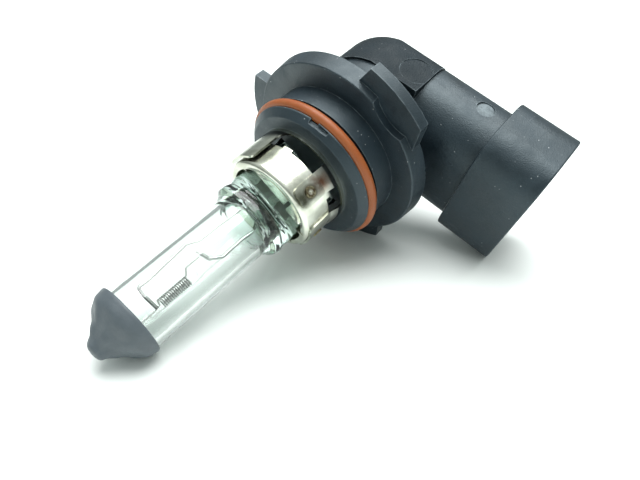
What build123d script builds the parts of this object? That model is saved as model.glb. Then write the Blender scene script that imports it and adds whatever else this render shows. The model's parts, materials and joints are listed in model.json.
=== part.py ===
from build123d import *
import os
from math import cos, radians, sin, sqrt, tan

# Single-filament headlight bulb with a right-angle connector: quartz capsule, steel collar,
# moulded plastic base with three bayonet lugs, and a two-pin socket. Millimetres.
#
# Design frame: +Z runs along the bulb axis to the tip, +X along the connector's axis, and the
# origin is where the bulb axis crosses the flange's front face (the reference plane).
# The finished parts are turned into the row frame, in which the bulb lies on a table with +Z up.

# ---- driving dimensions: nose, flange and lugs ----
NOSE_RADIUS = 11.0            # pilot cylinder that enters the lamp housing
NOSE_TOP = 6.65               # front face of the nose
NOSE_CHAMFER = 0.98
NOSE_ROUNDING = 0.25
BORE_FLOOR = 2.5              # floor of the narrow slot that takes the retaining ring
POST_TOP = 6.3                # black post inside the ring
THROAT_FLOOR = -2.0           # floor of the pocket that takes the capsule's pinch
PLUG_THICKNESS = 1.2
POCKET_GAP = 0.4              # room round the pinch in its pocket
ORING_SECTION = 0.75          # radius of the rubber's section
ORING_RADIUS = 10.85          # radius of the section's centre line
ORING_HEIGHT = 4.65
GROOVE_REAR, GROOVE_FRONT = 3.45, 5.5
GROOVE_GAP = 0.01             # between the rubber and the floor of its groove
NOTCH = (92.0, 5.8, 0.5, 1.3, 0.9)      # angle, level, depth, width and height of the groove's notch
GATE_SCAR = (86.0, 6.05, 0.5, 2.6, 0.9)
FLANGE_FRONT_RADIUS = 14.5
FLANGE_REAR_RADIUS = 14.8
FLANGE_THICKNESS = 3.0
RIM_ROUNDING = 0.2
SCALLOP_ANGLE = 61.0          # shallow bite in the flange rim
SCALLOP_RADIUS = 6.0
SCALLOP_DEPTH = 1.13
LUG_RADIUS = 17.5
LUG_ROOT = 13.8
LUG_TOP = -1.15
LUG_BOTTOM = -2.9
LUGS = ((86.5, 83.0, 50.0, 40.0), (202.0, 198.0, 171.6, 169.5), (-42.0, -50.0, -77.0, -84.0))
COLLAR_RADIUS = 10.2          # round body just behind the flange

# ---- driving dimensions: elbow and rear cap ----
CAP_RADIUS = 10.6             # round back
CAP_HALF_WIDTH = 10.3         # flat sides
CAP_FRONT = -9.6
CAP_REAR = -19.15
CAP_END = 5.6
CAP_EDGE_RADIUS = 4.0
CAP_KINK_ROUNDING = 2.0       # where the round back meets the flat sides
CAP_FIT = 0.1                 # between the cap and the elbow's core
CAP_MARK = (3.3, -13.0)       # centre of a round ejector mark on each flat side, as (x, level)
CAP_MARK_RADIUS = 2.5
CAP_MARK_DEPTH = 0.1
CORE_RADIUS = 8.6             # hollow core of the elbow, under the cap
CORE_REAR = -17.2
CORE_WALL = 1.6
CHAMBER_FRONT = -5.0
CHAMBER_END = 4.6
SEAL_REAR = -9.0

# ---- driving dimensions: neck, hood and blades ----
SOCKET_LEVEL = -14.3          # height of the connector's axis
NECK_START = 5.65
NECK_WIDTH, NECK_HEIGHT, NECK_CORNER = 19.6, 13.0, 6.0
NECK_MARK = (14.5, -14.93)    # centre of the round ejector mark, as (x, level)
NECK_MARK_RADIUS = 1.42
NECK_MARK_DEPTH = 0.3
HOOD_START = 17.9
HOOD_END = 27.65
HOOD_WIDTH, HOOD_HEIGHT, HOOD_CORNER = 22.4, 14.6, 5.3
HOOD_WALL = 1.0
HOOD_ROUNDING = 0.25
HOOD_FLOOR = 19.4             # where the wide front of the socket ends
WELL_WIDTH, WELL_HEIGHT, WELL_CORNER = 16.2, 10.0, 4.4
WELL_FLOOR = 14.6             # bottom of the narrow well round the blades
RAMP_START = 20.5             # latch ramp under the hood
RAMP_WIDTH = 6.0
RAMP_OUTLINE = ((0, 0), (5.5, 0), (5.5, 0.3), (1.2, 1.5), (0, 1.5))
BLADE_OFFSET = 4.6
BLADE_WIDTH, BLADE_THICKNESS = 2.8, 0.8
BLADE_START, BLADE_END = -3.5, 22.6
BLADE_CHAMFER = 0.3

# ---- driving dimensions: capsule, in its own frame, which is centred on the glass ----
HOLDER_SHIFT = (-0.32, 0.12)  # the holder is welded a little off axis, to centre the filament
CAPSULE_TILT = -0.98          # degrees about Y, at the pivot level
TILT_PIVOT = 10.0
PINCH_TURN = 157.8            # direction of the pinch's wide side about the axis
GLASS_RADIUS = 4.7
GLASS_WALL = 1.0
TIP_START = 38.6              # where the tube starts to close
TIP_CURVE = ((3.45, 40.6, 1.0), (1.5, 42.7, 0.6))   # radius, level and share of the skin
TIP_END = 43.8
TIP_END_SHARE = 1.2
TIP_END_SLOPE = (-1.0, 0.12)
COATING_EDGE = 37.5
COATING_SKIN = 0.25
HOLLOW_FRONT = 38.4           # centres of the hollow's round ends
HOLLOW_REAR = 18.0
HOLLOW_FLOOR = 16.5           # where the pinch closes the hollow
SHOULDER = ((15.6, 5.6, 2.0), (18.0, 5.8, 4.9), (19.6, GLASS_RADIUS, GLASS_RADIUS))   # level, half axes
PINCH_WIDTH, PINCH_THICKNESS = 11.2, 3.2
PINCH_TRIM = 0.4              # how much narrower the flat block is than the shoulder's foot
PINCH_BOTTOM, PINCH_TOP = 5.2, 16.2
PINCH_CORNER = 0.7
WIRE_RADIUS = 0.24
WIRE_BEND = 0.32
LONG_ROUTE = ((2.0, 13.9), (2.0, 19.0), (2.1, 22.0), (2.15, 24.9), (2.9, 26.5), (2.35, 33.2),
              (2.45, 34.6), (1.2, 34.75), (-1.05, 34.55))   # sideways and level, in the pinch's plane
SHORT_ROUTE = ((-1.8, 13.9), (-1.8, 16.2), (-1.35, 20.4), (-1.45, 23.9), (-0.5, 25.5), (1.45, 26.15))
COIL_RADIUS = 0.62
COIL_WIRE = 0.11
COIL_TURNS = 15
COIL_REAR, COIL_FRONT = 29.3, 33.8
COIL_SIDE = -0.85             # sideways place of the coil in the leaning capsule
COIL_DROP = 0.115             # from the coil's last turn to the start of its leg
REAR_LEG = ((0.62, 28.6), (0.6, 26.34))
REAR_LEG_BEND = 0.5
FRONT_LEG = (-0.9, 34.06)     # leaves the coil here, then passes beside the lead's hook
FRONT_LEG_END = (-1.15, 34.9, 37.0)     # sideways, and the levels of the straight end
FRONT_LEG_BEND = 0.12
FOIL_OFFSET = 2.0
FOIL_TOP, FOIL_BOTTOM = 13.9, 8.2
FOIL_WIDTH, FOIL_THICKNESS = 2.6, 0.12
OUTER_WIRE_RADIUS = 0.35
OUTER_WIRE_SPREAD = 2.2
OUTER_WIRE_BEND = 0.8
OUTER_WIRE_LEVELS = (-7.5, -11.2)       # where each lead turns towards its blade, and reaches it
TERMINAL_X = -1.9
NUGGET_RADIUS = 0.75
NUGGET_HEIGHT = 0.35

# ---- driving dimensions: steel holder ----
CUP_RADIUS = 7.25
CUP_SHEET = 0.35
CUP_REAR, CUP_FRONT = 9.4, 14.1
CUP_TABS = ((94.0, 106.0, 8.9), (28.0, 39.0, 8.4))   # start, end, level of two tabs on the rear edge
CUP_OPENING = 6.2
CUP_EDGE_RADIUS = 0.65
CLIP_REAR, CLIP_FRONT = 9.8, 10.15
SPRING_OFFSET = 2.7
SPRING_WIDTH = 2.6
SPRING_SHEET = 0.3
SPRING_HEIGHT = 3.6
RING_RADIUS = 7.95
RING_SHEET = 0.3
RING_TOP = 7.2                # sill of the windows between the tongues
TONGUE_TOP = 13.5
TONGUE_CORNER = 0.9
TONGUE_ROOT = 1.5             # rounding between the sprung tongue and the sills
SPRUNG_TONGUE = (118.6, 169.0)   # stands off the cup; the three others are bent in to touch it
BENT_TONGUES = ((37.0, 62.0), (216.0, 242.0), (319.0, 370.0))
BENT_RADIUS = 7.58
BEND_LOW, BEND_HIGH = 8.0, 9.3
WELD_RADIUS = 0.8
WELD_LEVEL = 11.4
WELD_SINK = 0.03              # how deep a weld starts inside the cup's surface
WELD_PROUD = 0.14             # height of its button on the tongue

# ---- lying pose: both axes dip below the horizontal by these angles ----
SOCKET_DIP = 21.26
TIP_DIP = 17.92

OVERLAP = 1.0                 # how far bodies that are joined or cut run past each other

axis_plane = Plane.XZ         # half-plane profiles are revolved about Z
holder_place = Pos(*HOLDER_SHIFT, 0)
capsule_place = holder_place * Pos(0, 0, TILT_PIVOT) * Rot(0, CAPSULE_TILT, 0) * Pos(0, 0, -TILT_PIVOT)
pinch_place = capsule_place * Rot(0, 0, PINCH_TURN)


def polar(radius, angle):
    return (radius * cos(radians(angle)), radius * sin(radians(angle)))


def slab(radius, low, high):
    """Round disc or post on the bulb axis between two levels."""
    return Pos(0, 0, low) * Cylinder(radius, high - low, align=(Align.CENTER, Align.CENTER, Align.MIN))


def tube(outer, inner, low, high):
    return slab(outer, low, high) - slab(inner, low, high)


def sector(inner, outer, start, end, low, high):
    """Piece of a tube between two angles."""
    middle = (start + end) / 2
    outline = (
        Line(polar(inner, start), polar(outer, start))
        + ThreePointArc(polar(outer, start), polar(outer, middle), polar(outer, end))
        + Line(polar(outer, end), polar(inner, end))
        + ThreePointArc(polar(inner, end), polar(inner, middle), polar(inner, start))
    )
    return extrude(Plane.XY.offset(low) * make_face(outline), high - low)


def spin(points, *, curve=None):
    """Solid of revolution from an outline of (radius, level) points."""
    edges = Polyline(*points) if curve is None else Polyline(*points) + curve
    return revolve(axis_plane * make_face(edges), Axis.Z)


def wire_rod(points, radius, bend):
    """Round wire along straight runs with rounded corners."""
    path = FilletPolyline(*points, radius=bend)
    return sweep(Plane(path @ 0, z_dir=path % 0) * Circle(radius), path=path)


def across(x):
    """Sketch plane across the connector's axis: local x is Y, local y is Z."""
    return Plane(origin=(x, 0, SOCKET_LEVEL), x_dir=(0, 1, 0), z_dir=(1, 0, 0))


# ---- glass capsule ----
def tip_solid(inset, low):
    """Solid of the capsule's front end, down to a level, moved inwards from the coating's skin."""
    side = GLASS_RADIUS + COATING_SKIN - inset
    end = TIP_END - TIP_END_SHARE * inset
    middle = [(radius - share * inset, level) for radius, level, share in TIP_CURVE]
    cone = Spline((side, TIP_START), *middle, (0, end), tangents=[(0, 1), TIP_END_SLOPE])
    return spin([(0, end), (0, low), (side, low), (side, TIP_START)], curve=cone)


def make_lead_wires():
    routes = [[(s, 0, z) for s, z in route] for route in (LONG_ROUTE, SHORT_ROUTE)]
    return [wire_rod(route, WIRE_RADIUS, WIRE_BEND) for route in routes]


def make_filament():
    coil_height = COIL_FRONT - COIL_REAR
    helix = Helix(coil_height / COIL_TURNS, coil_height, COIL_RADIUS)
    section = Plane(helix @ 0, z_dir=helix % 0) * Circle(COIL_WIRE)
    coil = Pos(COIL_SIDE, 0, COIL_REAR) * sweep(section, path=helix, is_frenet=True)
    start = COIL_SIDE + COIL_RADIUS
    rear_points = [(start, 0, COIL_REAR - COIL_DROP)] + [(s, 0, z) for s, z in REAR_LEG]
    rear_leg = wire_rod(rear_points, COIL_WIRE, REAR_LEG_BEND)
    leave_side, leave_level = FRONT_LEG
    end_side, *end_levels = FRONT_LEG_END
    beside = WIRE_RADIUS + COIL_WIRE
    front_points = [(start, 0, COIL_FRONT + COIL_DROP), (leave_side, 0, leave_level)]
    front_points += [(end_side, beside, level) for level in end_levels]
    front_leg = wire_rod(front_points, COIL_WIRE, FRONT_LEG_BEND)
    return coil, front_leg, rear_leg


def make_foils():
    middle = (FOIL_TOP + FOIL_BOTTOM) / 2
    foil = Box(FOIL_WIDTH, FOIL_THICKNESS, FOIL_TOP - FOIL_BOTTOM)
    return [Pos(side * FOIL_OFFSET, 0, middle) * foil for side in (1, -1)]


def make_glass(embedded):
    shoulder = loft([Plane.XY.offset(level) * Ellipse(wide, thick) for level, wide, thick in SHOULDER])
    outer = tip_solid(COATING_SKIN, SHOULDER[-1][0])
    pinch = Box(PINCH_WIDTH - PINCH_TRIM, PINCH_THICKNESS, PINCH_TOP - PINCH_BOTTOM)
    pinch = fillet(pinch.edges().filter_by(Axis.Z), PINCH_CORNER)
    pinch = Pos(0, 0, (PINCH_BOTTOM + PINCH_TOP) / 2) * pinch
    inner_radius = GLASS_RADIUS - GLASS_WALL
    hollow = slab(inner_radius, HOLLOW_REAR, HOLLOW_FRONT)
    for level in (HOLLOW_FRONT, HOLLOW_REAR):
        hollow += Pos(0, 0, level) * Sphere(inner_radius)
    hollow -= slab(GLASS_RADIUS, PINCH_BOTTOM, HOLLOW_FLOOR)
    glass = outer + shoulder + pinch - hollow
    for piece in embedded:
        glass -= piece
    return glass


def make_coating():
    return tip_solid(0.0, COATING_EDGE) - tip_solid(COATING_SKIN, COATING_EDGE - OVERLAP)


# ---- steel holder ----
def make_cup():
    shell = slab(CUP_RADIUS, CUP_REAR, CUP_FRONT)
    shell = fillet(shell.edges().group_by(Axis.Z)[-1], CUP_EDGE_RADIUS)
    hollow = slab(CUP_RADIUS - CUP_SHEET, CUP_REAR - OVERLAP, CUP_FRONT - CUP_SHEET)
    hollow = fillet(hollow.edges().group_by(Axis.Z)[-1], CUP_EDGE_RADIUS - CUP_SHEET)
    cup = shell - hollow - slab(CUP_OPENING, CUP_REAR, CUP_FRONT + OVERLAP)
    for start, end, level in CUP_TABS:
        cup += sector(CUP_RADIUS - CUP_SHEET, CUP_RADIUS, start, end, level, CUP_REAR)
    return cup


def make_pinch_clip():
    """Plate inside the cup with a slot for the pinch and four springs that press on its flats."""
    plate = slab(CUP_RADIUS - CUP_SHEET, CLIP_REAR, CLIP_FRONT)
    clip = plate - Pos(0, 0, CLIP_REAR) * Box(PINCH_WIDTH, PINCH_THICKNESS, 2 * OVERLAP)
    spring = Box(SPRING_WIDTH, SPRING_SHEET, SPRING_HEIGHT)
    for side in (1, -1):
        depth = side * (PINCH_THICKNESS + SPRING_SHEET) / 2
        for sideways in (-SPRING_OFFSET, SPRING_OFFSET):
            clip += Pos(sideways, depth, CLIP_REAR + SPRING_HEIGHT / 2) * spring
    return clip


def radial_edges(ring, level):
    """Straight edges across the ring's sheet at a level."""
    return [edge for edge in ring.edges().filter_by(GeomType.LINE) if abs(edge.center().Z - level) < 0.01]


def make_ring():
    """Steel ring pressed into the nose, with tongues that reach up around the cup."""
    inner = RING_RADIUS - RING_SHEET
    cut = (inner - OVERLAP, RING_RADIUS + OVERLAP)
    ring = tube(RING_RADIUS, inner, BORE_FLOOR, TONGUE_TOP)
    start, end = SPRUNG_TONGUE
    opposite = (start + end) / 2 + 180
    for gap in ((end, opposite), (opposite, start + 360)):
        ring -= sector(*cut, *gap, RING_TOP, TONGUE_TOP + OVERLAP)
    ring = fillet(radial_edges(ring, RING_TOP), TONGUE_ROOT)
    bent_inner = BENT_RADIUS - RING_SHEET
    bent = spin([
        (RING_RADIUS, RING_TOP), (RING_RADIUS, BEND_LOW), (BENT_RADIUS, BEND_HIGH),
        (BENT_RADIUS, TONGUE_TOP), (bent_inner, TONGUE_TOP), (bent_inner, BEND_HIGH),
        (inner, BEND_LOW), (inner, RING_TOP), (RING_RADIUS, RING_TOP),
    ])
    gaps = [(end, start) for (_, end), (start, _) in zip(BENT_TONGUES, BENT_TONGUES[1:])]
    gaps.append((BENT_TONGUES[-1][1], BENT_TONGUES[0][0] + 360))
    for gap in gaps:
        bent -= sector(*cut, *gap, RING_TOP - OVERLAP, TONGUE_TOP + OVERLAP)
    ring += bent
    return fillet(radial_edges(ring, TONGUE_TOP), TONGUE_CORNER)


def make_welds(ring):
    """Spot welds that tie each bent tongue to the cup, with a small button outside."""
    inner, outer = CUP_RADIUS - WELD_SINK, BENT_RADIUS + WELD_PROUD
    nugget = Pos((inner + outer) / 2, 0, WELD_LEVEL) * Rot(0, 90, 0) * Cylinder(WELD_RADIUS, outer - inner)
    spots = []
    for start, end in BENT_TONGUES:
        spot = Rot(0, 0, (start + end) / 2) * nugget
        spots.extend((spot - ring - slab(CUP_RADIUS, CUP_REAR, CUP_FRONT)).solids())
    return spots


# ---- plastic base ----
def make_lug(angles):
    inner_start, outer_start, outer_end, inner_end = angles
    base = FLANGE_REAR_RADIUS - RIM_ROUNDING / 2
    outer_middle = (outer_start + outer_end) / 2
    inner_middle = (inner_start + inner_end) / 2
    outline = (
        Polyline(polar(LUG_ROOT, inner_start), polar(base, inner_start), polar(LUG_RADIUS, outer_start))
        + ThreePointArc(polar(LUG_RADIUS, outer_start), polar(LUG_RADIUS, outer_middle),
                        polar(LUG_RADIUS, outer_end))
        + Polyline(polar(LUG_RADIUS, outer_end), polar(base, inner_end), polar(LUG_ROOT, inner_end))
        + ThreePointArc(polar(LUG_ROOT, inner_end), polar(LUG_ROOT, inner_middle),
                        polar(LUG_ROOT, inner_start))
    )
    return extrude(Plane.XY.offset(LUG_BOTTOM) * make_face(outline), LUG_TOP - LUG_BOTTOM)


def elbow_plan(radius, half_width, end):
    """Plan of the elbow: a round back and flat sides, cut off square towards the connector."""
    back = Circle(radius) & Rectangle(2 * radius, 2 * half_width)
    back -= Pos(radius, 0) * Rectangle(2 * radius, 3 * radius)
    return back + Pos(end / 2, 0) * Rectangle(end, 2 * half_width)


def elbow_block(radius, end, low, high):
    return extrude(Plane.XY.offset(low) * elbow_plan(radius, radius, end), high - low)


def side_mark(place, half_width, radius, depth):
    """Shallow round recess in a side wall of the elbow or the neck."""
    x, level = place
    return Pos(x, half_width, level) * Rot(90, 0, 0) * Cylinder(radius, 2 * depth)


def nose_bite(angle, level, depth, width, height):
    """Small rectangular bite in the wall of the nose."""
    return Rot(0, 0, angle) * Pos(NOSE_RADIUS, 0, level) * Box(2 * depth, width, height)


def make_rear_cap():
    plan = elbow_plan(CAP_RADIUS, CAP_HALF_WIDTH, CAP_END)
    shell = extrude(Plane.XY.offset(CAP_REAR) * plan, CAP_FRONT - CAP_REAR)
    shell = fillet(shell.edges().filter_by(Axis.Z).group_by(Axis.X)[0], CAP_KINK_ROUNDING)
    shell = fillet(shell.edges().group_by(Axis.Z)[0].filter_by(Axis.Y, reverse=True), CAP_EDGE_RADIUS)
    shell -= elbow_block(CORE_RADIUS + CAP_FIT, CAP_END, CORE_REAR, CAP_FRONT)
    for side in (1, -1):
        shell -= side_mark(CAP_MARK, side * CAP_HALF_WIDTH, CAP_MARK_RADIUS, CAP_MARK_DEPTH)
    return shell


def make_ramp():
    """Latch ramp under the hood, where the plug's catch snaps on."""
    start = (RAMP_START, -RAMP_WIDTH / 2, SOCKET_LEVEL - HOOD_HEIGHT / 2)
    place = Plane(origin=start, x_dir=(1, 0, 0), z_dir=(0, 1, 0))
    return extrude(place * make_face(Polyline(*RAMP_OUTLINE, close=True)), RAMP_WIDTH)


def make_housing():
    body = slab(NOSE_RADIUS, -FLANGE_THICKNESS / 2, NOSE_TOP)
    body = chamfer(body.edges().group_by(Axis.Z)[-1], NOSE_CHAMFER)
    body = fillet(body.edges().filter_by(GeomType.CIRCLE).sort_by(Axis.Z)[-2:], NOSE_ROUNDING)
    flange = Cone(FLANGE_REAR_RADIUS, FLANGE_FRONT_RADIUS, FLANGE_THICKNESS)
    flange = fillet(flange.edges().filter_by(GeomType.CIRCLE), RIM_ROUNDING)
    body += Pos(0, 0, -FLANGE_THICKNESS / 2) * flange
    bite = polar(FLANGE_FRONT_RADIUS - SCALLOP_DEPTH + SCALLOP_RADIUS, SCALLOP_ANGLE)
    body -= Pos(*bite, 0) * Cylinder(SCALLOP_RADIUS, -2 * LUG_TOP)
    for angles in LUGS:
        body += make_lug(angles)
    body += slab(COLLAR_RADIUS, CAP_FRONT, -FLANGE_THICKNESS)
    body += elbow_block(CORE_RADIUS, NECK_START, CORE_REAR, CAP_FRONT)
    neck = RectangleRounded(NECK_WIDTH, NECK_HEIGHT, NECK_CORNER)
    body += extrude(across(NECK_START) * neck, HOOD_START + OVERLAP - NECK_START)
    hood = RectangleRounded(HOOD_WIDTH, HOOD_HEIGHT, HOOD_CORNER)
    hood = extrude(across(HOOD_START) * hood, HOOD_END - HOOD_START)
    hood_ends = hood.edges().group_by(Axis.X)
    body += fillet(hood_ends[0] + hood_ends[-1], HOOD_ROUNDING)
    body += make_ramp()
    # O-ring groove with its notch, gate scar and ejector mark
    groove_floor = ORING_RADIUS - ORING_SECTION - GROOVE_GAP
    body -= tube(NOSE_RADIUS + OVERLAP, groove_floor, GROOVE_REAR, GROOVE_FRONT)
    body -= nose_bite(*NOTCH)
    body -= nose_bite(*GATE_SCAR)
    body -= side_mark(NECK_MARK, NECK_WIDTH / 2, NECK_MARK_RADIUS, NECK_MARK_DEPTH)
    # hollows: ring slot, nose recess, pinch pocket, rear chamber and socket
    body -= holder_place * tube(RING_RADIUS, RING_RADIUS - RING_SHEET, BORE_FLOOR, NOSE_TOP)
    body -= holder_place * slab(RING_RADIUS, POST_TOP, NOSE_TOP + OVERLAP)
    body -= pocket_block(THROAT_FLOOR, NOSE_TOP)
    body -= elbow_block(CORE_RADIUS - CORE_WALL, CHAMBER_END, CORE_REAR - OVERLAP, CHAMBER_FRONT)
    mouth_width, mouth_height = HOOD_WIDTH - 2 * HOOD_WALL, HOOD_HEIGHT - 2 * HOOD_WALL
    mouth = RectangleRounded(mouth_width, mouth_height, HOOD_CORNER - HOOD_WALL)
    body -= extrude(across(HOOD_FLOOR) * mouth, HOOD_END + OVERLAP - HOOD_FLOOR)
    well = RectangleRounded(WELL_WIDTH, WELL_HEIGHT, WELL_CORNER)
    return body - extrude(across(WELL_FLOOR) * well, HOOD_END - WELL_FLOOR)


def make_blade(side):
    place = Pos((BLADE_END + BLADE_START) / 2, side * BLADE_OFFSET, SOCKET_LEVEL)
    blade = place * Box(BLADE_END - BLADE_START, BLADE_WIDTH, BLADE_THICKNESS)
    return chamfer(blade.edges().group_by(Axis.X)[-1].filter_by(Axis.Y), BLADE_CHAMFER)


def make_outer_lead(side):
    """Lead from the foil through the pinch, the throat and the chamber, down to its blade."""
    turn_level, reach_level = OUTER_WIRE_LEVELS
    top = pinch_place * Pos(side * OUTER_WIRE_SPREAD, 0, FOIL_BOTTOM)
    low = pinch_place * Pos(side * OUTER_WIRE_SPREAD, 0, turn_level)
    terminal = (TERMINAL_X, side * BLADE_OFFSET)
    blade_top = SOCKET_LEVEL + BLADE_THICKNESS / 2
    points = [top.position, low.position, (*terminal, reach_level), (*terminal, blade_top)]
    return wire_rod(points, OUTER_WIRE_RADIUS, OUTER_WIRE_BEND)


def pocket_block(low, high):
    """Block in line with the pinch, as wide and thick as its pocket in the nose."""
    block = Box(PINCH_WIDTH + 2 * POCKET_GAP, PINCH_THICKNESS + 2 * POCKET_GAP, high - low)
    return holder_place * Rot(0, 0, PINCH_TURN) * Pos(0, 0, (low + high) / 2) * block


def make_throat_plug(leads):
    """Insulating block at the bottom of the pinch's pocket that guides both leads."""
    plug = pocket_block(THROAT_FLOOR, THROAT_FLOOR + PLUG_THICKNESS)
    for lead in leads:
        plug -= lead
    return plug


def make_chamber_seal(leads):
    """Sealing compound poured around the leads at the front of the rear chamber."""
    seal = elbow_block(CORE_RADIUS - CORE_WALL, CHAMBER_END, SEAL_REAR, CHAMBER_FRONT)
    for lead in leads:
        seal -= lead
    return seal


def make_terminal_welds():
    """Small nugget where each lead meets its blade."""
    level = SOCKET_LEVEL + BLADE_THICKNESS / 2
    nugget = tube(NUGGET_RADIUS, OUTER_WIRE_RADIUS, level, level + NUGGET_HEIGHT)
    return [Pos(TERMINAL_X, side * BLADE_OFFSET, 0) * nugget for side in (1, -1)]


def build_parts():
    leads_and_foils = dict(zip(("long_lead_wire", "short_lead_wire", "foil_long", "foil_short"),
                               (*make_lead_wires(), *make_foils())))
    filament = dict(zip(("filament_coil", "filament_front_leg", "filament_rear_leg"), make_filament()))
    parts = {name: pinch_place * solid for name, solid in (leads_and_foils | filament).items()}
    outer_leads = [make_outer_lead(side) for side in (1, -1)]
    blades = [make_blade(side) for side in (1, -1)]
    glass = pinch_place * make_glass(leads_and_foils.values())
    for lead in outer_leads:
        glass -= lead
    ring = make_ring()
    parts["glass_envelope"] = glass
    parts["tip_coating"] = pinch_place * make_coating()
    parts["capsule_cup"] = holder_place * make_cup()
    parts["pinch_clip"] = pinch_place * make_pinch_clip()
    parts["retaining_ring"] = holder_place * ring
    parts["spot_welds"] = holder_place * Compound(make_welds(ring))
    parts["outer_lead_long"], parts["outer_lead_short"] = outer_leads
    parts["terminal_blade_long"], parts["terminal_blade_short"] = blades
    parts["terminal_welds"] = Compound(make_terminal_welds())
    parts["throat_plug"] = make_throat_plug(outer_leads)
    parts["chamber_seal"] = make_chamber_seal(outer_leads)
    housing = make_housing()
    for piece in (*outer_leads, *blades):
        housing -= piece
    parts["base_housing"] = housing
    parts["rear_cap"] = make_rear_cap()
    parts["o_ring"] = Pos(0, 0, ORING_HEIGHT) * Torus(ORING_RADIUS, ORING_SECTION)
    return parts


def lying_pose():
    """Turn from the design frame into the row frame, with both axes dipping by their angles."""
    socket = Vector(cos(radians(SOCKET_DIP)), 0, -sin(radians(SOCKET_DIP)))
    tip_z = -sin(radians(TIP_DIP))
    tip_x = tip_z * tan(radians(SOCKET_DIP))
    tip = Vector(tip_x, -sqrt(1 - tip_x ** 2 - tip_z ** 2), tip_z)
    return Plane(origin=(0, 0, 0), x_dir=socket, z_dir=tip).location


def main():
    os.makedirs("parts", exist_ok=True)
    pose = lying_pose()
    for name, solid in build_parts().items():
        export_step(pose * solid, f"parts/{name}.step")


if __name__ == "__main__":
    main()
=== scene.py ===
import json
import math

import bpy
from mathutils import Matrix, Vector, noise


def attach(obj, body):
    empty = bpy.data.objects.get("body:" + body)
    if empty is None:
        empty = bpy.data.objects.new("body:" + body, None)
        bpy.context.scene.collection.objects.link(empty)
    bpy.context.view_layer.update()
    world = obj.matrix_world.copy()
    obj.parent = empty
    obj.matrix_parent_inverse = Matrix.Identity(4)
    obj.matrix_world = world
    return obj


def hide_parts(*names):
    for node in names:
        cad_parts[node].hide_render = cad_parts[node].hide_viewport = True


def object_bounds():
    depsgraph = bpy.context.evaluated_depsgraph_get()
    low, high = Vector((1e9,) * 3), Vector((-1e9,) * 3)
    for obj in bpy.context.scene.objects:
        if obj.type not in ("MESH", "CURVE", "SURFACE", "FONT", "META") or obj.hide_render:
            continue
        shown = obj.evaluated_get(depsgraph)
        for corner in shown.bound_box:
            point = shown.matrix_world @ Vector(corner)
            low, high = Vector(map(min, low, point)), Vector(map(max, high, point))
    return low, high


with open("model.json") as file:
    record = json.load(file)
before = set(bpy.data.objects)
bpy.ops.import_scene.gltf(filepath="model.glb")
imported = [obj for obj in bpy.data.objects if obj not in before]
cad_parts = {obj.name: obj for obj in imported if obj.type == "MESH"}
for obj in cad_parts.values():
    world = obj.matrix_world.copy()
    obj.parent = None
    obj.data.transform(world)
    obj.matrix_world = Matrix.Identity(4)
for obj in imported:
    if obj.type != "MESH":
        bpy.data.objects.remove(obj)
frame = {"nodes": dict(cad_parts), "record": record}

cad_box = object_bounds()
nodes = frame["nodes"]
scene = bpy.context.scene

# ---------------------------------------------------------------------------
# Design frame: +Z along the bulb axis to the tip, +X along the connector, origin where the axis
# crosses the flange's front face. The CAD lies in the row frame, so pieces made here are turned
# by the same two dips of the connector's axis and of the tip. Lengths are millimetres, except
# for the floor and the softbox, which are metres.
# ---------------------------------------------------------------------------
MM = 0.001
SOCKET_DIP = math.radians(21.26)        # connector's axis below the horizontal
TIP_DIP = math.radians(17.92)           # tip below the horizontal
HOLDER_SHIFT = (-0.32, 0.12)            # the holder stands a little off the bulb's axis
CAPSULE_TILT = math.radians(-0.98)      # lean of the glass in its holder
TILT_PIVOT = 10.0                       # level about which the glass leans
PINCH_TURN = math.radians(157.8)        # direction of the pinch's wide side about the axis

socket_axis = Vector((math.cos(SOCKET_DIP), 0, -math.sin(SOCKET_DIP)))
tip_z = -math.sin(TIP_DIP)
tip_x = tip_z * math.tan(SOCKET_DIP)
tip_axis = Vector((tip_x, -math.sqrt(1 - tip_x ** 2 - tip_z ** 2), tip_z))
side_axis = tip_axis.cross(socket_axis)
to_row = Matrix((socket_axis, side_axis, tip_axis)).transposed().to_4x4() @ Matrix.Scale(MM, 4)
to_capsule = (
    to_row
    @ Matrix.Translation((*HOLDER_SHIFT, TILT_PIVOT))
    @ Matrix.Rotation(CAPSULE_TILT, 4, "Y")
    @ Matrix.Translation((0, 0, -TILT_PIVOT))
    @ Matrix.Rotation(PINCH_TURN, 4, "Z")
)


# ---------------------------------------------------------------------------
# Node helpers
# ---------------------------------------------------------------------------
NOISE_LOW, NOISE_HIGH = 0.3, 0.7        # most of a noise texture lies between these values


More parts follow.
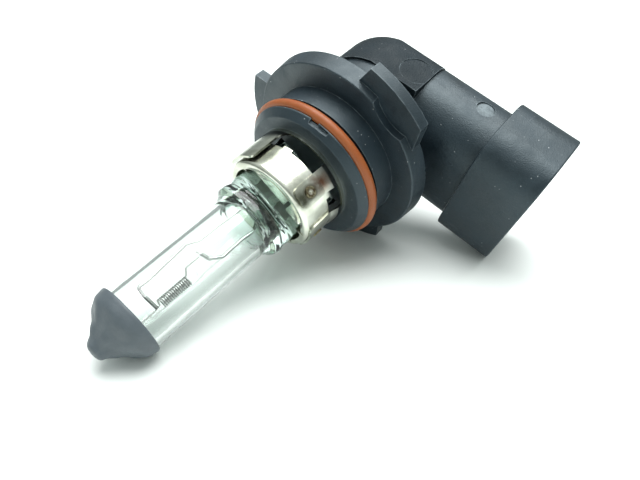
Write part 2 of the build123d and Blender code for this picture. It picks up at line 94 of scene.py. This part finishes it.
class Shader:
    """A small wrapper that builds one procedural material."""

    def __init__(self, name, **inputs):
        self.name = name
        self.material = bpy.data.materials.new(name)
        self.material.use_nodes = True
        self.tree = self.material.node_tree
        self.shader = self.tree.nodes["Principled BSDF"]
        self.coords = self.add("ShaderNodeTexCoord").outputs["Object"]
        self.height = None
        for key, value in inputs.items():
            self.shader.inputs[key.replace("_", " ")].default_value = value

    def add(self, kind, **inputs):
        node = self.tree.nodes.new(kind)
        for key, value in inputs.items():
            node.inputs[key.replace("_", " ")].default_value = value
        return node

    def link(self, out, socket):
        self.tree.links.new(out, socket)

    def noise(self, size, detail=3.0, roughness=0.55, stretch=(1, 1, 1)):
        """Noise whose features are about size millimetres across."""
        node = self.add("ShaderNodeTexNoise", Scale=1 / (size * MM), Detail=detail, Roughness=roughness)
        mapping = self.add("ShaderNodeMapping", Scale=stretch)
        self.link(self.coords, mapping.inputs["Vector"])
        self.link(mapping.outputs[0], node.inputs["Vector"])
        return node.outputs["Fac"]

    def patches(self, size, start, end, detail=3.0, roughness=0.55):
        """Noise mapped from start[0]..end[0] to start[1]..end[1]."""
        return self.ramp(self.noise(size, detail, roughness), start, end)

    def specks(self, size, low, high):
        """1 at scattered points about size millimetres apart, 0 between them."""
        node = self.add("ShaderNodeTexVoronoi", Scale=1 / (size * MM))
        self.link(self.coords, node.inputs["Vector"])
        return self.ramp(node.outputs["Distance"], (low, 1.0), (high, 0.0))

    def ramp(self, value, start, end):
        """Maps value from start[0]..end[0] to start[1]..end[1], clamped."""
        node = self.add("ShaderNodeMapRange")
        node.inputs["From Min"].default_value, node.inputs["To Min"].default_value = start
        node.inputs["From Max"].default_value, node.inputs["To Max"].default_value = end
        self.link(value, node.inputs["Value"])
        return node.outputs["Result"]

    def math(self, operation, a, b):
        node = self.add("ShaderNodeMath")
        node.operation = operation
        for socket, value in zip(node.inputs, (a, b)):
            if isinstance(value, (int, float)):
                socket.default_value = value
            else:
                self.link(value, socket)
        return node.outputs[0]

    def mix(self, factor, a, b):
        node = self.add("ShaderNodeMix")
        node.data_type = "RGBA"
        self.link(factor, node.inputs["Factor"])
        for socket, value in zip((node.inputs[6], node.inputs[7]), (a, b)):
            if isinstance(value, tuple):
                socket.default_value = (*value, 1.0)
            else:
                self.link(value, socket)
        return node.outputs[2]

    def bump(self, value, distance, strength=1.0):
        """Adds bump, distance millimetres deep at full strength, to the bump already there."""
        node = self.add("ShaderNodeBump", Distance=distance * MM, Strength=strength)
        self.link(value, node.inputs["Height"])
        if self.height is not None:
            self.link(self.height, node.inputs["Normal"])
        self.height = node.outputs["Normal"]
        self.link(self.height, self.shader.inputs["Normal"])

    def drive(self, name, value):
        self.link(value, self.shader.inputs[name])

    def two_tone(self, size, dark, pale, detail=3.0, roughness=0.55):
        """Base colour that wanders between two tones."""
        self.drive("Base Color", self.mix(self.noise(size, detail, roughness), dark, pale))

    def gloss(self, size, low, high, detail=3.0, roughness=0.55):
        """Roughness that wanders between two values."""
        self.drive("Roughness", self.patches(size, (NOISE_LOW, low), (NOISE_HIGH, high), detail, roughness))

    def vector(self, operation, place):
        """Object coordinates taken together with a fixed vector, as one number."""
        node = self.add("ShaderNodeVectorMath")
        node.operation = operation
        self.link(self.coords, node.inputs[0])
        node.inputs[1].default_value = place
        return node.outputs["Value"]

    def edges(self, radius, low, high):
        """0 on flat faces, 1 on edges where a bevel of this radius would turn the normal far enough."""
        bevel = self.add("ShaderNodeBevel", Radius=radius * MM)
        plain = self.add("ShaderNodeNewGeometry").outputs["Normal"]
        dot = self.add("ShaderNodeVectorMath")
        dot.operation = "DOT_PRODUCT"
        self.link(bevel.outputs["Normal"], dot.inputs[0])
        self.link(plain, dot.inputs[1])
        return self.ramp(dot.outputs["Value"], (1.0 - low, 0.0), (1.0 - high, 1.0))

    def near(self, place, inner, outer):
        """1 within the inner distance of a place in the row frame, 0 beyond the outer one."""
        return self.ramp(self.vector("DISTANCE", place), (inner * MM, 1.0), (outer * MM, 0.0))

    def by_level(self, start, end):
        """Maps the level along the bulb's axis from start[0]..end[0] to start[1]..end[1]."""
        level = self.vector("DOT_PRODUCT", tip_axis)
        return self.ramp(level, (start[0] * MM, start[1]), (end[0] * MM, end[1]))


# ---------------------------------------------------------------------------
# Materials, one function for each slot
# ---------------------------------------------------------------------------
def on_holder(radius, angle, level):
    """Place on the outside of the cup or of a tongue around it, in the row frame."""
    turn = math.radians(angle)
    x = radius * math.cos(turn) + HOLDER_SHIFT[0]
    y = radius * math.sin(turn) + HOLDER_SHIFT[1]
    return to_row @ Vector((x, y, level))


WELD_SPOT = on_holder(7.7, 49.5, 11.4)
BURNT_SPOT = on_holder(7.6, 50.5, 9.5)
SOOT_SPOT = on_holder(7.6, 48.0, 13.1)
# centre of a painted dim reflection of the darker surroundings on the cup
DIM_REFLECTION_SPOT = on_holder(7.3, 104.0, 11.2)
NECK_MARK = to_row @ Vector((14.5, 9.8, -14.93))      # round mark on the connector's neck, where a pale tone is painted as its sheen

BLACK_SHEEN = (0.80, 0.95, 1.0, 1.0)
DARKEST, PALEST = 0.75, 1.3   # shares of the plastic's tone in its clouds
# pale edge tone: partly wear, partly a painted highlight along the edges
WORN_AND_HIGHLIT_EDGE_TONE = (0.19, 0.23, 0.25)
# painted sheen of the neck's mark
MARK_SHEEN_TONE = (0.105, 0.130, 0.142)
DUST_TONE = (0.6, 0.63, 0.64)
MATT_RANGE = 0.12             # how far the plastic's roughness strays from its middle value

SHADED_STEEL, BRIGHT_STEEL = (0.46, 0.47, 0.39), (0.74, 0.76, 0.67)
# painted dark reflection of the black nose, with shade
NOSE_REFLECTION_TONE = (0.10, 0.105, 0.10)
# olive-grey of the painted dim reflection
DIM_REFLECTION_TONE = (0.24, 0.255, 0.205)
SOOT_TONE = (0.13, 0.13, 0.085)
BURNT_TONE = (0.20, 0.095, 0.055)
SCALE_TONE = (0.12, 0.095, 0.05)

DARK_WELD, PALE_WELD = (0.09, 0.07, 0.04), (0.34, 0.31, 0.20)
WELD_CENTRE = (0.85, 0.85, 0.75)

PRESSED_TINT = (0.71, 0.84, 0.795)
BLOWN_TINT = (0.905, 0.942, 0.927)


def moulded_plastic(name, tone, grain, depth, specular, matt):
    """Black glass-filled nylon: cloudy sheen, fine grain, pale edges that are partly wear and partly a
    painted edge highlight, a pale tone painted on the neck's mark as its sheen, and a few specks of dust.
    """
    m = Shader(name, Specular_IOR_Level=specular, Specular_Tint=BLACK_SHEEN)
    clouds = m.patches(5.0, (NOISE_LOW, 0.0), (NOISE_HIGH, 1.0), 4.0, 0.6)
    body = m.mix(clouds, tuple(DARKEST * c for c in tone), tuple(PALEST * c for c in tone))
    # Pale edges: partly wear, partly a painted highlight along the edges.
    edge_patches = m.patches(1.5, (0.35, 0.1), (0.65, 0.9), 4.0)
    worn_and_highlit = m.mix(m.math("MULTIPLY", m.edges(0.25, 0.02, 0.25), edge_patches), body, WORN_AND_HIGHLIT_EDGE_TONE)
    # Painted sheen: a pale, mottled tone on the neck's round mark stands in for its shine.
    mark_sheen_mottle = m.patches(0.7, (0.35, 0.35), (0.6, 1.0), 4.0)
    with_mark_sheen = m.mix(m.math("MULTIPLY", m.near(NECK_MARK, 1.22, 1.40), mark_sheen_mottle), worn_and_highlit, MARK_SHEEN_TONE)
    settled = m.patches(5.0, (0.40, 0.0), (0.6, 0.75), 2.0)
    dust = m.math("MULTIPLY", m.specks(1.1, 0.045, 0.080), settled)
    m.drive("Base Color", m.mix(dust, with_mark_sheen, DUST_TONE))
    m.gloss(2.5, matt - MATT_RANGE, matt + MATT_RANGE, 5.0, 0.65)
    m.bump(m.noise(3.5), 0.25, 0.35)
    m.bump(m.noise(grain, 2.0, 0.5), depth)
    return m


def base_plastic():
    tone = (0.0100, 0.0175, 0.0242)
    return moulded_plastic("base_plastic", tone, grain=0.16, depth=0.04, specular=0.58, matt=0.43)


def cap_plastic():
    tone = (0.0080, 0.0130, 0.0172)
    return moulded_plastic("cap_plastic", tone, grain=0.24, depth=0.14, specular=0.20, matt=0.50)


def holder_steel():
    """Bright sheet steel with a painted dark band above its foot, standing in for the black nose mirrored
    in it and the shade beside it, a painted dim reflection patch, and heat tint by the weld.
    """
    m = Shader("holder_steel", Metallic=1.0)
    sheet = m.mix(m.patches(4.0, (0.38, 0.0), (0.62, 1.0)), SHADED_STEEL, BRIGHT_STEEL)
    # Painted reflection and shade: a dark band above the foot stands in for the black nose mirrored in the
    # steel and the shade next to it.
    below_painted_band = m.by_level((7.22, 1.0), (7.35, 0.0))
    above_painted_band = m.by_level((7.8, 0.0), (9.6, 1.0))
    tone = m.mix(m.math("MAXIMUM", above_painted_band, below_painted_band), NOSE_REFLECTION_TONE, sheet)
    streaks = m.patches(1.2, (0.35, 0.45), (0.6, 1.0), 4.0)
    # Painted reflection: an olive-grey patch stands in for the dimmer surroundings mirrored in the cup.
    tone = m.mix(m.near(DIM_REFLECTION_SPOT, 0.6, 3.0), tone, DIM_REFLECTION_TONE)
    tone = m.mix(m.math("MULTIPLY", m.near(SOOT_SPOT, 0.5, 1.7), streaks), tone, SOOT_TONE)
    tone = m.mix(m.math("MULTIPLY", m.near(BURNT_SPOT, 0.6, 1.9), streaks), tone, BURNT_TONE)
    m.drive("Base Color", m.mix(m.near(WELD_SPOT, 0.7, 1.3), tone, SCALE_TONE))
    m.gloss(1.2, 0.16, 0.27, 4.0, 0.6)
    m.bump(m.noise(4.0, 2.0), 0.3, 0.3)
    return m


def weld_metal():
    """Lumpy weld button, scorched and blotchy around a bright centre."""
    m = Shader("weld_metal", Metallic=1.0, Roughness=0.4)
    blotches = m.patches(0.45, (0.4, 0.0), (0.6, 1.0))
    button = m.mix(blotches, DARK_WELD, PALE_WELD)
    centre = m.math("MULTIPLY", m.near(WELD_SPOT, 0.2, 0.42), m.math("SUBTRACT", 1.0, blotches))
    m.drive("Base Color", m.mix(centre, button, WELD_CENTRE))
    m.bump(m.noise(0.35), 0.2, 0.8)
    return m


def lead_wire():
    """Drawn wire, bright and a little uneven."""
    m = Shader("lead_wire", Metallic=1.0)
    m.two_tone(1.5, (0.42, 0.43, 0.42), (0.64, 0.65, 0.63))
    m.gloss(0.3, 0.14, 0.26)
    return m


def tungsten_wire():
    m = Shader("tungsten_wire", Metallic=1.0)
    m.two_tone(0.8, (0.48, 0.48, 0.47), (0.66, 0.66, 0.65))
    m.gloss(0.2, 0.35, 0.55)
    return m


def molybdenum_foil():
    m = Shader("molybdenum_foil", Metallic=1.0)
    m.two_tone(1.0, (0.32, 0.31, 0.30), (0.5, 0.49, 0.47))
    m.gloss(0.4, 0.3, 0.5)
    return m


def terminal_metal():
    """Tinned blades with fine scratches that run roughly lengthwise."""
    m = Shader("terminal_metal", Metallic=1.0)
    m.two_tone(2.0, (0.60, 0.58, 0.54), (0.74, 0.72, 0.68))
    scratches = m.noise(0.6, 4.0, 0.6, stretch=(1, 8, 8))
    m.drive("Roughness", m.ramp(scratches, (NOISE_LOW, 0.24), (NOISE_HIGH, 0.42)))
    return m


def seal_rubber():
    """Soft orange silicone that lets a little light in."""
    m = Shader("seal_rubber", Specular_IOR_Level=0.35, Subsurface_Weight=0.15, Subsurface_Scale=0.6 * MM)
    m.two_tone(4.0, (0.230, 0.058, 0.014), (0.320, 0.096, 0.027))
    m.gloss(0.5, 0.34, 0.52)
    m.bump(m.noise(0.25, 2.0), 0.02)
    return m


def white_ceramic():
    m = Shader("white_ceramic", Roughness=0.7)
    m.two_tone(0.8, (0.70, 0.69, 0.66), (0.8, 0.79, 0.76), 4.0)
    m.bump(m.noise(0.2), 0.03)
    return m


def sealing_compound():
    """Glossy black resin with a wavy surface."""
    m = Shader("sealing_compound", Roughness=0.25)
    m.two_tone(2.0, (0.015, 0.014, 0.013), (0.03, 0.028, 0.026))
    m.bump(m.noise(3.0, 2.0), 0.2)
    return m


def tip_paint():
    """Dull dark grey paint, slightly grainy."""
    m = Shader("tip_paint")
    m.two_tone(2.5, (0.052, 0.067, 0.078), (0.090, 0.111, 0.126), 4.0, 0.6)
    m.gloss(1.5, 0.42, 0.58, 4.0)
    m.bump(m.noise(0.3), 0.04)
    return m


def clear_glass():
    """Clear bulb over a pinch that is cloudy and faintly green where it was pressed."""
    m = Shader("clear_glass", Roughness=0.0, IOR=1.46)
    pressed = m.patches(1.3, (0.35, 0.76), (0.65, 0.97), 4.0, 0.6)
    clear = m.by_level((13.8, 0.0), (15.2, 1.0))
    m.drive("Transmission Weight", m.math("MAXIMUM", pressed, clear))
    blown = m.by_level((18.6, 0.0), (20.0, 1.0))
    m.drive("Base Color", m.mix(blown, PRESSED_TINT, BLOWN_TINT))
    m.bump(m.noise(5.0, 2.0), 0.12, 0.5)
    return m


def make_materials():
    makers = (
        base_plastic, cap_plastic, holder_steel, weld_metal, lead_wire, tungsten_wire, molybdenum_foil,
        terminal_metal, seal_rubber, white_ceramic, sealing_compound, tip_paint, clear_glass,
    )
    shaders = [make() for make in makers]
    return {shader.name: shader.material for shader in shaders}


# ---------------------------------------------------------------------------
# Mesh helpers
# ---------------------------------------------------------------------------
def assign(obj, material):
    obj.data.materials.clear()
    obj.data.materials.append(material)


def add_mesh(name, verts, faces, slot_name, material, smooth=True):
    """Adds a piece that rides with the bulb; its points are in the capsule's frame."""
    mesh = bpy.data.meshes.new(name)
    mesh.from_pydata([to_capsule @ Vector(v) for v in verts], [], faces)
    mesh.update()
    mesh.polygons.foreach_set("use_smooth", [smooth] * len(mesh.polygons))
    obj = bpy.data.objects.new(name, mesh)
    scene.collection.objects.link(obj)
    assign(obj, material)
    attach(obj, "root")
    return obj


def joined(pieces):
    """One list of vertices and one of faces from several (vertices, faces) pairs."""
    all_verts, all_faces = [], []
    for verts, faces in pieces:
        start = len(all_verts)
        all_verts.extend(verts)
        all_faces.extend(tuple(v + start for v in f) for f in faces)
    return all_verts, all_faces


def smoothstep(low, high, value):
    t = min(1.0, max(0.0, (value - low) / (high - low)))
    return t * t * (3 - 2 * t)


def at_level(table, z):
    """Smoothly interpolated columns of a (level, values...) table."""
    if z <= table[0][0]:
        return table[0][1:]
    for low, high in zip(table, table[1:]):
        if z <= high[0]:
            t = smoothstep(low[0], high[0], z)
            return tuple(a + (b - a) * t for a, b in zip(low[1:], high[1:]))
    return table[-1][1:]


def round_angles(count):
    return [2 * math.pi * i / count for i in range(count)]


def tube(rings):
    """Vertices and faces of a skin over rings of points, open at both ends."""
    count = len(rings[0])
    verts = [p for ring in rings for p in ring]
    faces = []
    for k in range(len(rings) - 1):
        for i in range(count):
            j = (i + 1) % count
            faces.append((k * count + i, k * count + j, (k + 1) * count + j, (k + 1) * count + i))
    return verts, faces


def skin(rings, inside_out=False):
    """Vertices and faces of a closed skin over rings of points, capped at both ends."""
    verts, faces = tube(rings)
    count = len(rings[0])
    top = (len(rings) - 1) * count
    faces.append(tuple(reversed(range(count))))
    faces.append(tuple(range(top, top + count)))
    if inside_out:
        faces = [tuple(reversed(f)) for f in faces]
    return verts, faces


def oval(half_s, half_w, power, angle):
    """Point of a superellipse: power 2 is an ellipse and higher powers are boxier."""
    c, s = math.cos(angle), math.sin(angle)
    r = (abs(c / half_s) ** power + abs(s / half_w) ** power) ** (-1 / power)
    return r * c, r * s


# ---------------------------------------------------------------------------
# Glass capsule: s runs along the pinch's wide side and w through its thickness
# ---------------------------------------------------------------------------
GLASS_OUTER = (   # level, half width, half thickness, boxiness
    (5.2, 5.30, 1.45, 5.0),
    (5.8, 5.50, 1.60, 6.0),
    (12.6, 5.50, 1.60, 6.0),
    (14.4, 5.60, 1.75, 5.0),
    (15.6, 5.75, 3.10, 2.6),
    (16.6, 5.60, 4.50, 2.1),
    (17.3, 5.85, 4.85, 2.0),
    (18.2, 5.80, 4.90, 2.0),
    (18.9, 5.05, 4.75, 2.0),
    (19.6, 4.70, 4.70, 2.0),
    (38.4, 4.70, 4.70, 2.0),
    (39.4, 4.25, 4.25, 2.0),
    (40.6, 3.10, 3.10, 2.0),
    (42.2, 1.50, 1.50, 2.0),
    (43.3, 0.45, 0.45, 2.0),
)
GLASS_INNER = (
    (15.3, 2.60, 0.20, 2.0),
    (16.2, 3.10, 1.40, 2.0),
    (17.4, 3.45, 2.90, 2.0),
    (18.8, 3.65, 3.60, 2.0),
    (20.0, 3.75, 3.75, 2.0),
    (38.0, 3.75, 3.75, 2.0),
    (39.0, 3.45, 3.45, 2.0),
    (40.2, 2.40, 2.40, 2.0),
    (41.0, 1.20, 1.20, 2.0),
    (41.3, 0.30, 0.30, 2.0),
)
GLASS_STEP = 0.2              # between one ring of points and the next
GLASS_POINTS = 128            # around each ring

RIB_MIDDLES = (-4.1, -1.5, 1.1, 3.9)
RIB_WIDTH = 0.42
RIB_HEIGHT = 0.34
DENT_HEIGHT = 0.16
DENTS_ACROSS, DENTS_ALONG, DENTS_SEED = 1.7, 1.4, 4.0      # two frequencies and a slice of the noise
RELIEF_STARTS = (7.0, 8.0)    # levels between which the relief grows to its full height
RELIEF_ENDS = (14.2, 15.4)    # and between which it fades away
FLAT_THICKNESS = 2.5          # glass with a smaller half thickness is part of the pinch

WAVE_HEIGHT = 0.035           # share of the radius by which the hot-worked shoulder wanders
WAVES_ACROSS, WAVES_ALONG = 0.5, 0.9
WAVES_START = (13.0, 16.0)
WAVES_END = (18.5, 20.0)


def grow_and_fade(start, end, z):
    return smoothstep(*start, z) * (1 - smoothstep(*end, z))


def levels(table):
    low, high = table[0][0], table[-1][0]
    count = int((high - low) / GLASS_STEP)
    return [low + (high - low) * k / count for k in range(count + 1)]


def pinch_relief(s, z):
    """Raised ribs and shallow dents that the press leaves on the flats of the pinch."""
    ribs = max(math.exp(-((s - middle) / RIB_WIDTH) ** 2) for middle in RIB_MIDDLES)
    dents = noise.noise(Vector((DENTS_ACROSS * s, DENTS_SEED, DENTS_ALONG * z)))
    return (RIB_HEIGHT * ribs + DENT_HEIGHT * dents) * grow_and_fade(RELIEF_STARTS, RELIEF_ENDS, z)


def glass_rings(table, pressed):
    rings = []
    for z in levels(table):
        half_s, half_w, power = at_level(table, z)
        waves = WAVE_HEIGHT * grow_and_fade(WAVES_START, WAVES_END, z)
        ring = []
        for angle in round_angles(GLASS_POINTS):
            s, w = oval(half_s, half_w, power, angle)
            spot = Vector((WAVES_ACROSS * s, WAVES_ACROSS * w, WAVES_ALONG * z))
            swell = 1 + waves * noise.noise(spot)
            on_flat = pressed and half_w < FLAT_THICKNESS
            relief = math.copysign(pinch_relief(s, z), w) if on_flat else 0.0
            ring.append((s * swell, w * swell + relief, z))
        rings.append(ring)
    return rings


def make_glass(material):
    outside = skin(glass_rings(GLASS_OUTER, pressed=True))
    inside = skin(glass_rings(GLASS_INNER, pressed=False), inside_out=True)
    glass = add_mesh("glass_capsule", *joined((outside, inside)), "clear_glass", material)
    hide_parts("glass_envelope")


# ---------------------------------------------------------------------------
# Painted tip: a lumpy coat over the closed end of the glass
# ---------------------------------------------------------------------------
PAINT_INSIDE = (   # level, radius, from the tip back to the paint's edge
    (43.2, 0.5), (42.2, 1.55), (40.6, 3.15), (39.4, 4.30), (38.4, 4.74), (37.55, 4.74),
)
PAINT_OUTSIDE = (   # level, radius, from the edge to the tip
    (37.5, 4.93), (37.62, 5.06), (37.85, 5.08), (38.2, 5.0), (38.7, 4.93), (39.2, 4.70), (39.8, 4.22),
    (40.4, 3.58), (41.0, 2.92), (41.6, 2.36), (42.1, 1.92), (42.5, 1.60), (42.75, 1.46), (42.95, 1.38),
    (43.15, 1.26), (43.32, 1.02), (43.42, 0.68), (43.47, 0.28),
)
PAINT_POINTS = 96             # around each ring
PAINT_COVER = 0.08            # points closer to the glass than this stay smooth
LUMP_HEIGHT = 0.22            # share of the radius
LUMPS_AROUND, LUMPS_ALONG = 2.0, 0.8
DEEPEST_DENT = -0.03          # share of the radius that leaves the glass covered
LUMPS_START = (38.2, 40.5)
TIP_LEAN = -0.22              # sideways shift of the very tip
LEAN_START = (41.0, 43.5)


def paint_lump(angle, z):
    x, y = LUMPS_AROUND * math.cos(angle), LUMPS_AROUND * math.sin(angle)
    lump = LUMP_HEIGHT * noise.noise(Vector((x, y, LUMPS_ALONG * z)))
    return max(DEEPEST_DENT, lump) * smoothstep(*LUMPS_START, z)


def make_tip(material):
    rings = []
    for z, radius in (*PAINT_INSIDE, *PAINT_OUTSIDE):
        outside = radius > at_level(GLASS_OUTER, z)[0] + PAINT_COVER
        lean = TIP_LEAN * smoothstep(*LEAN_START, z)
        ring = []
        for angle in round_angles(PAINT_POINTS):
            r = radius * (1 + paint_lump(angle, z)) if outside else radius
            ring.append((r * math.cos(angle) + lean, r * math.sin(angle), z))
        rings.append(ring)
    tip = add_mesh("painted_tip", *skin(rings), "tip_paint", material)
    sub = tip.modifiers.new("smooth", "SUBSURF")
    sub.levels = sub.render_levels = 2
    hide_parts("tip_coating")


# ---------------------------------------------------------------------------
# Spring clip that holds the pinch inside the cup: fingers of bent sheet on a plate with a slot
# ---------------------------------------------------------------------------
CLIP_FINGERS = ((-1.4, 4.2), (-4.7, -2.0))      # sideways range of the fingers on each side
CLIP_SHEET = 0.22             # thickness of the sheet
CLIP_RADIUS = 6.3             # out to the cup's round rim
CLIP_TOP = 14.15              # level of the fingers' flat tops
RIM_DROP = 0.1                # the fingers' outer ends bend down this far
FLAT_WIDTH = 0.1              # from a finger's fold to the rim, where that is narrowest
FINGER_STEPS = 12             # strips across a finger's width
FINGER_FOOT = ((2.05, 10.9), (1.95, 10.4), (2.0, 9.9))      # beside the glass, down into the plate
END_PATH = (                  # of the sheet around one end of the pinch, seen along the bulb's axis
    (5.0, 2.15), (6.0, 2.15), (6.3, 1.8), (6.3, -1.8), (6.0, -2.15), (5.0, -2.15),
)
END_BOTTOM, END_HEIGHT = 10.2, 3.9
PLATE_BOTTOM, PLATE_TOP = 9.8, 10.15
PLATE_SIZE = (6.8, 6.8, 2.0)  # half width, half thickness, boxiness
SLOT_SIZE = (5.62, 1.66, 6.0)
PLATE_POINTS = 96


def curve_point(p, q, r, u, t):
    """Catmull-Rom curve between q and r, with p before them and u after them."""
    slope = (r - p) * t
    bend = (2 * p - 5 * q + 4 * r - u) * t ** 2
    twist = (3 * q - p - 3 * r + u) * t ** 3
    return 0.5 * (2 * q + slope + bend + twist)


def rounded(points, steps):
    """Smooth curve through points in a plane, with this many steps between two of them."""
    padded = [points[0], *points, points[-1]]
    curve = []
    for a, b, c, d in zip(padded, padded[1:], padded[2:], padded[3:]):
        for k in range(steps):
            curve.append(tuple(curve_point(*values, k / steps) for values in zip(a, b, c, d)))
    curve.append(points[-1])
    return curve


def ribbon(path, place, steps=1):
    """Strip of bent sheet: a path in a plane, given thickness, then swept between two ends."""
    path = [Vector(p) for p in path]
    sides = ([], [])
    for k, p in enumerate(path):
        step = path[min(k + 1, len(path) - 1)] - path[max(k - 1, 0)]
        normal = Vector((-step.y, step.x)).normalized() * CLIP_SHEET / 2
        sides[0].append(p + normal)
        sides[1].append(p - normal)
    outline = [*sides[0], *reversed(sides[1])]
    count = len(outline)
    verts, faces = tube([[place(p, k / steps) for p in outline] for k in range(steps + 1)])
    for start in (0, steps * count):
        for i in range(len(path) - 1):
            face = (start + i, start + i + 1, start + count - 2 - i, start + count - 1 - i)
            faces.append(face if start else tuple(reversed(face)))
    return verts, faces


def finger(side, low, high):
    """Springy finger: flat at the rim, folded over and bent down along the glass to the plate."""
    fold = math.sqrt(CLIP_RADIUS ** 2 - max(abs(low), abs(high)) ** 2) - FLAT_WIDTH

    def on_finger(p, end):
        """The flat top reaches out to the round rim; past the fold the finger is straight."""
        s = low + (high - low) * end
        reach = (math.sqrt(CLIP_RADIUS ** 2 - s ** 2) - fold) / (CLIP_RADIUS - fold)
        w = p.x if p.x < fold else fold + (p.x - fold) * reach
        return s, side * w, p.y

    top = [(CLIP_RADIUS, CLIP_TOP - RIM_DROP), (fold + FLAT_WIDTH, CLIP_TOP)]
    slope = [(0.86 * fold, 13.75), (0.62 * fold, 12.4)]
    return ribbon(rounded([*top, *slope, *FINGER_FOOT], steps=5), on_finger, FINGER_STEPS)


def end_wall(side):
    """Upright sheet bent around one end of the pinch."""
    def on_wall(p, end):
        return side * p.x, p.y, END_BOTTOM + END_HEIGHT * end

    return ribbon(rounded(END_PATH, steps=4), on_wall)


def clip_plate():
    """Round plate with a slot for the pinch."""
    def ring(size, level):
        return [(*oval(*size, angle), level) for angle in round_angles(PLATE_POINTS)]

    outer = [ring(PLATE_SIZE, PLATE_BOTTOM), ring(PLATE_SIZE, PLATE_TOP)]
    inner = [ring(SLOT_SIZE, PLATE_TOP), ring(SLOT_SIZE, PLATE_BOTTOM)]
    return tube([*outer, *inner, outer[0]])


def make_clip(material):
    pieces = []
    for side in (1, -1):
        for low, high in CLIP_FINGERS:
            pieces.append(finger(side, low, high))
        pieces.append(end_wall(side))
    pieces.append(clip_plate())
    clip = add_mesh("spring_clip", *joined(pieces), "holder_steel", material, smooth=False)
    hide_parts("pinch_clip")


# ---------------------------------------------------------------------------
# Camera, light and floor
# ---------------------------------------------------------------------------
BRIGHTENING = (0.35, 0.95)    # heights of a direction where the surroundings start and stop brightening
SKY_LOW = (0.36, 0.40, 0.39)
SKY_HIGH = (1.10, 1.16, 1.13)

FLOOR_SIZE = 4.0              # metres
FLOOR_DARK, FLOOR_PALE = (0.84, 0.885, 0.865), (0.88, 0.92, 0.90)

SOFTBOX_PLACE = (0.015, 0.06, 0.37)             # metres, in the row frame
SOFTBOX_SIZE = 0.43                             # metres
SOFTBOX_POWER = 2.6                             # watts

SENSOR_WIDTH = 36.0
LENS = 29.63
NEAREST_SEEN = 5.0
CAMERA_PLACE = (25.7, 63.0, 44.9)               # in the design frame, as are the three directions
CAMERA_RIGHT = (0.7559, 0.1203, -0.6436)
CAMERA_DOWN = (0.6109, -0.4832, 0.6272)
CAMERA_FORWARD = (-0.2355, -0.8672, -0.4387)


def make_floor():
    floor_level = cad_box[0].z
    bpy.ops.mesh.primitive_plane_add(size=FLOOR_SIZE, location=(0, 0, floor_level))
    floor = bpy.context.object
    floor.name = "floor"
    board = Shader("floor_board", Roughness=0.6)
    board.two_tone(60.0, FLOOR_DARK, FLOOR_PALE, 2.0)
    assign(floor, board.material)


def make_surroundings():
    """Light from all around, brighter overhead."""
    world = bpy.data.worlds.new("studio")
    world.use_nodes = True
    tree = world.node_tree
    direction = tree.nodes.new("ShaderNodeTexCoord").outputs["Generated"]
    split = tree.nodes.new("ShaderNodeSeparateXYZ")
    height = tree.nodes.new("ShaderNodeMapRange")
    height.inputs["From Min"].default_value = BRIGHTENING[0]
    height.inputs["From Max"].default_value = BRIGHTENING[1]
    sky = tree.nodes.new("ShaderNodeMix")
    sky.data_type = "RGBA"
    sky.inputs[6].default_value = (*SKY_LOW, 1.0)
    sky.inputs[7].default_value = (*SKY_HIGH, 1.0)
    tree.links.new(direction, split.inputs[0])
    tree.links.new(split.outputs["Z"], height.inputs["Value"])
    tree.links.new(height.outputs["Result"], sky.inputs["Factor"])
    tree.links.new(sky.outputs[2], tree.nodes["Background"].inputs["Color"])
    scene.world = world


def make_softbox():
    """Round lamp over the bulb, turned toward the origin."""
    light = bpy.data.lights.new("key_softbox", "AREA")
    light.shape = "DISK"
    light.size = SOFTBOX_SIZE
    light.energy = SOFTBOX_POWER
    lamp = bpy.data.objects.new("key_softbox", light)
    lamp.location = SOFTBOX_PLACE
    lamp.rotation_mode = "QUATERNION"
    lamp.rotation_quaternion = (-Vector(SOFTBOX_PLACE)).to_track_quat("-Z", "Y")
    scene.collection.objects.link(lamp)


def make_camera():
    data = bpy.data.cameras.new("camera")
    data.sensor_width = SENSOR_WIDTH
    data.lens = LENS
    data.clip_start = NEAREST_SEEN * MM
    camera = bpy.data.objects.new("camera", data)
    turn = to_row.to_3x3() * (1 / MM)
    axes = [turn @ Vector(CAMERA_RIGHT), turn @ -Vector(CAMERA_DOWN), turn @ -Vector(CAMERA_FORWARD)]
    place = Matrix.Translation(to_row @ Vector(CAMERA_PLACE))
    camera.matrix_world = place @ Matrix(axes).transposed().to_4x4()
    scene.collection.objects.link(camera)
    scene.camera = camera
    scene.view_settings.view_transform = "Standard"


# ---------------------------------------------------------------------------
# The scene
# ---------------------------------------------------------------------------
materials = make_materials()
node_slots = {part["node"]: part["material_slot"] for part in frame["record"]["subparts"]}
for name, obj in nodes.items():
    assign(obj, materials[node_slots[name]])

make_glass(materials["clear_glass"])
make_tip(materials["tip_paint"])
make_clip(materials["holder_steel"])
make_floor()
make_surroundings()
make_softbox()
make_camera()
